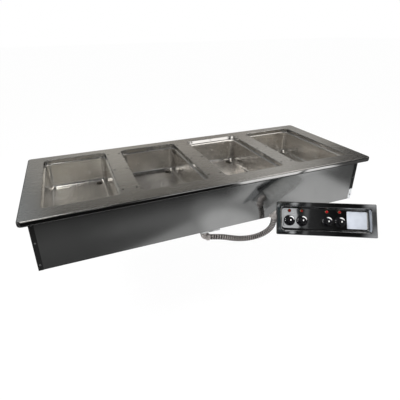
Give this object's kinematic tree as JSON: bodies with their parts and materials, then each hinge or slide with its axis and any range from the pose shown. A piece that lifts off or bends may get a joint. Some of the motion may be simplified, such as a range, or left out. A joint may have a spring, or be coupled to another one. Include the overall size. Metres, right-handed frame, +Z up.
{
  "type": "drop-in food well",
  "caption": "Drop-in heated food well: deep pans in one deck over an insulated case, with a knob panel on a flexible ribbed conduit.",
  "frame": {"origin": "centre of the counter cut-out, in the plane of the counter's top on which the deck's gasket rests", "axes": "+X along the row of wells to the right as seen from the front, +Y to the rear, +Z up"},
  "size_m": [1.632, 0.9331, 0.3667],
  "materials": {
    "deck_steel": "brushed along its length",
    "pan_steel": "bright drawn stainless steel",
    "case_steel": "dull mill finish",
    "galvanised_steel": "galvanised",
    "polished_steel": "polished stainless steel",
    "shaft_steel": "turned",
    "cast_zinc": "die cast zinc, dull",
    "conduit_strip": "wound metal strip, dull",
    "drain_brass": "cast and turned",
    "element_sheath": "heat-tinted sheath",
    "glass_wool": "pressed glass wool",
    "gasket_rubber": "matt",
    "knob_phenolic": "moulded, satin gloss",
    "switch_plastic": "moulded",
    "red_lens": "clear red",
    "plate_paint": "bare, pale, satin"
  },
  "bodies": {
    "case": {"top_deck": "deck_steel", "deck_gasket": "gasket_rubber", "well_pan_1": "pan_steel", "well_pan_2": "pan_steel", "well_pan_3": "pan_steel", "well_pan_4": "pan_steel", "front_panel": "case_steel", "rear_panel": "case_steel", "left_end_panel": "case_steel", "right_end_panel": "case_steel", "bottom_panel": "galvanised_steel", "support_rail_1": "galvanised_steel", "support_rail_2": "galvanised_steel", "support_rail_3": "galvanised_steel", "support_rail_4": "galvanised_steel", "support_rail_5": "galvanised_steel", "heating_element_1": "element_sheath", "heating_element_2": "element_sheath", "heating_element_3": "element_sheath", "heating_element_4": "element_sheath", "element_tray_1": "galvanised_steel", "element_tray_2": "galvanised_steel", "element_tray_3": "galvanised_steel", "element_tray_4": "galvanised_steel", "drain_body_1": "drain_brass", "drain_body_2": "drain_brass", "drain_body_3": "drain_brass", "drain_body_4": "drain_brass", "drain_nut_1": "drain_brass", "drain_nut_2": "drain_brass", "drain_nut_3": "drain_brass", "drain_nut_4": "drain_brass", "insulation_wrap": "glass_wool", "bottom_insulation": "glass_wool", "junction_box": "galvanised_steel", "junction_box_cover": "galvanised_steel", "case_elbow": "cast_zinc", "case_elbow_locknut": "cast_zinc", "flex_conduit": "conduit_strip", "panel_elbow": "cast_zinc", "panel_elbow_locknut": "cast_zinc", "control_bezel": "polished_steel", "control_box": "galvanised_steel", "switch_1": "switch_plastic", "switch_2": "switch_plastic", "switch_3": "switch_plastic", "switch_4": "switch_plastic", "pilot_lens_1": "red_lens", "pilot_lens_2": "red_lens", "pilot_lens_3": "red_lens", "pilot_lens_4": "red_lens", "instruction_plate": "plate_paint"},
    "knob_unit_1": {"knob_1": "knob_phenolic", "knob_shaft_1": "shaft_steel"},
    "knob_unit_2": {"knob_2": "knob_phenolic", "knob_shaft_2": "shaft_steel"},
    "knob_unit_3": {"knob_3": "knob_phenolic", "knob_shaft_3": "shaft_steel"},
    "knob_unit_4": {"knob_4": "knob_phenolic", "knob_shaft_4": "shaft_steel"}
  },
  "joints": [
    {"name": "knob_turn_1", "type": "hinge", "parent": "case", "child": "knob_unit_1", "pos_m": [0.2863, -0.40426, -0.17762], "axis": [0.3718, 0.7622, -0.5299], "range_deg": [0, 270]},
    {"name": "knob_turn_2", "type": "hinge", "parent": "case", "child": "knob_unit_2", "pos_m": [0.33574, -0.42837, -0.17762], "axis": [0.3718, 0.7622, -0.5299], "range_deg": [0, 270]},
    {"name": "knob_turn_3", "type": "hinge", "parent": "case", "child": "knob_unit_3", "pos_m": [0.4346, -0.47659, -0.17762], "axis": [0.3718, 0.7622, -0.5299], "range_deg": [0, 270]},
    {"name": "knob_turn_4", "type": "hinge", "parent": "case", "child": "knob_unit_4", "pos_m": [0.48404, -0.5007, -0.17762], "axis": [0.3718, 0.7622, -0.5299], "range_deg": [0, 270]}
  ]
}
